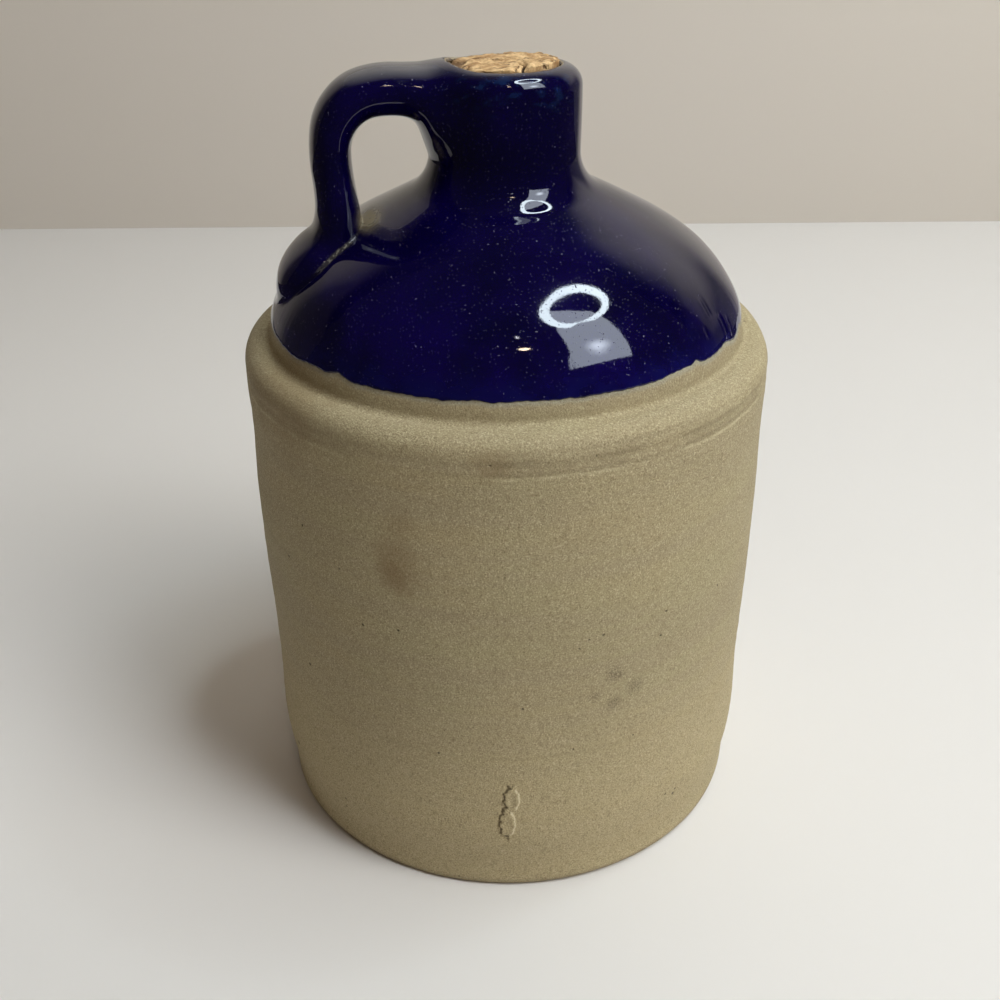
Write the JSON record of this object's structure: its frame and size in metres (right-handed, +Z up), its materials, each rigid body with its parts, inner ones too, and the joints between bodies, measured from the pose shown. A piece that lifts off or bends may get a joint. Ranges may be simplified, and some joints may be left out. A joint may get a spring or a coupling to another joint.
{
  "type": "stoneware whiskey jug with cork",
  "caption": "Small shouldered stoneware jug with a strap handle at the neck, a glazed top, a bare clay body and a cork in the mouth.",
  "frame": {"origin": "middle of the base, on the surface that the jug stands on", "axes": "+Z up through the mouth, -X towards the handle"},
  "size_m": [0.1405, 0.1406, 0.2087],
  "materials": {
    "stoneware": "matt bare clay below, glossy dark cobalt glaze above",
    "cork": "matt"
  },
  "bodies": {
    "root": {"jug": "stoneware", "cork": "cork"}
  },
  "joints": []
}
